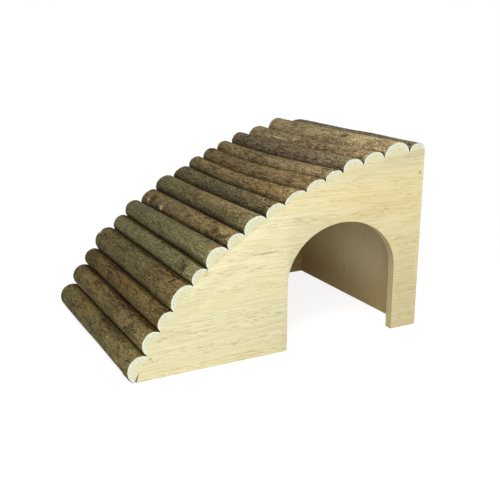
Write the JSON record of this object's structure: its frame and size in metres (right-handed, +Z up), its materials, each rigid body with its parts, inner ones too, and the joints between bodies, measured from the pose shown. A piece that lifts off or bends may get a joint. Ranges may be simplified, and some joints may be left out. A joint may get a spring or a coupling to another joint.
{
  "type": "wooden hamster house",
  "caption": "Quarter-round hamster house: plywood side panels and end wall, an arched doorway in front, and a roof of split branches running down to the floor.",
  "frame": {"origin": "on the floor, under the middle of the whole house", "axes": "+X from the foot of the roof to the closed end, +Y from the doorway side to the rear, +Z up"},
  "size_m": [0.2048, 0.144, 0.1267],
  "materials": {
    "plywood": "bare, sanded",
    "bark_brown": "natural bark, cut ends bare",
    "bark_olive": "natural bark, cut ends bare",
    "bark_grey": "natural bark, cut ends bare",
    "bark_tan": "natural bark, cut ends bare",
    "steel": "dull"
  },
  "bodies": {
    "root": {"front_panel": "plywood", "rear_panel": "plywood", "end_wall": "plywood", "rod_01": "bark_olive", "rod_02": "bark_brown", "rod_03": "bark_brown", "rod_04": "bark_olive", "rod_05": "bark_olive", "rod_06": "bark_olive", "rod_07": "bark_brown", "rod_08": "bark_olive", "rod_09": "bark_grey", "rod_10": "bark_tan", "rod_11": "bark_brown", "rod_12": "bark_tan", "rod_13": "bark_grey", "rod_14": "bark_brown", "rod_15": "bark_tan", "rod_16": "bark_grey", "wall_brads_front": "steel", "wall_brads_rear": "steel"}
  },
  "joints": []
}
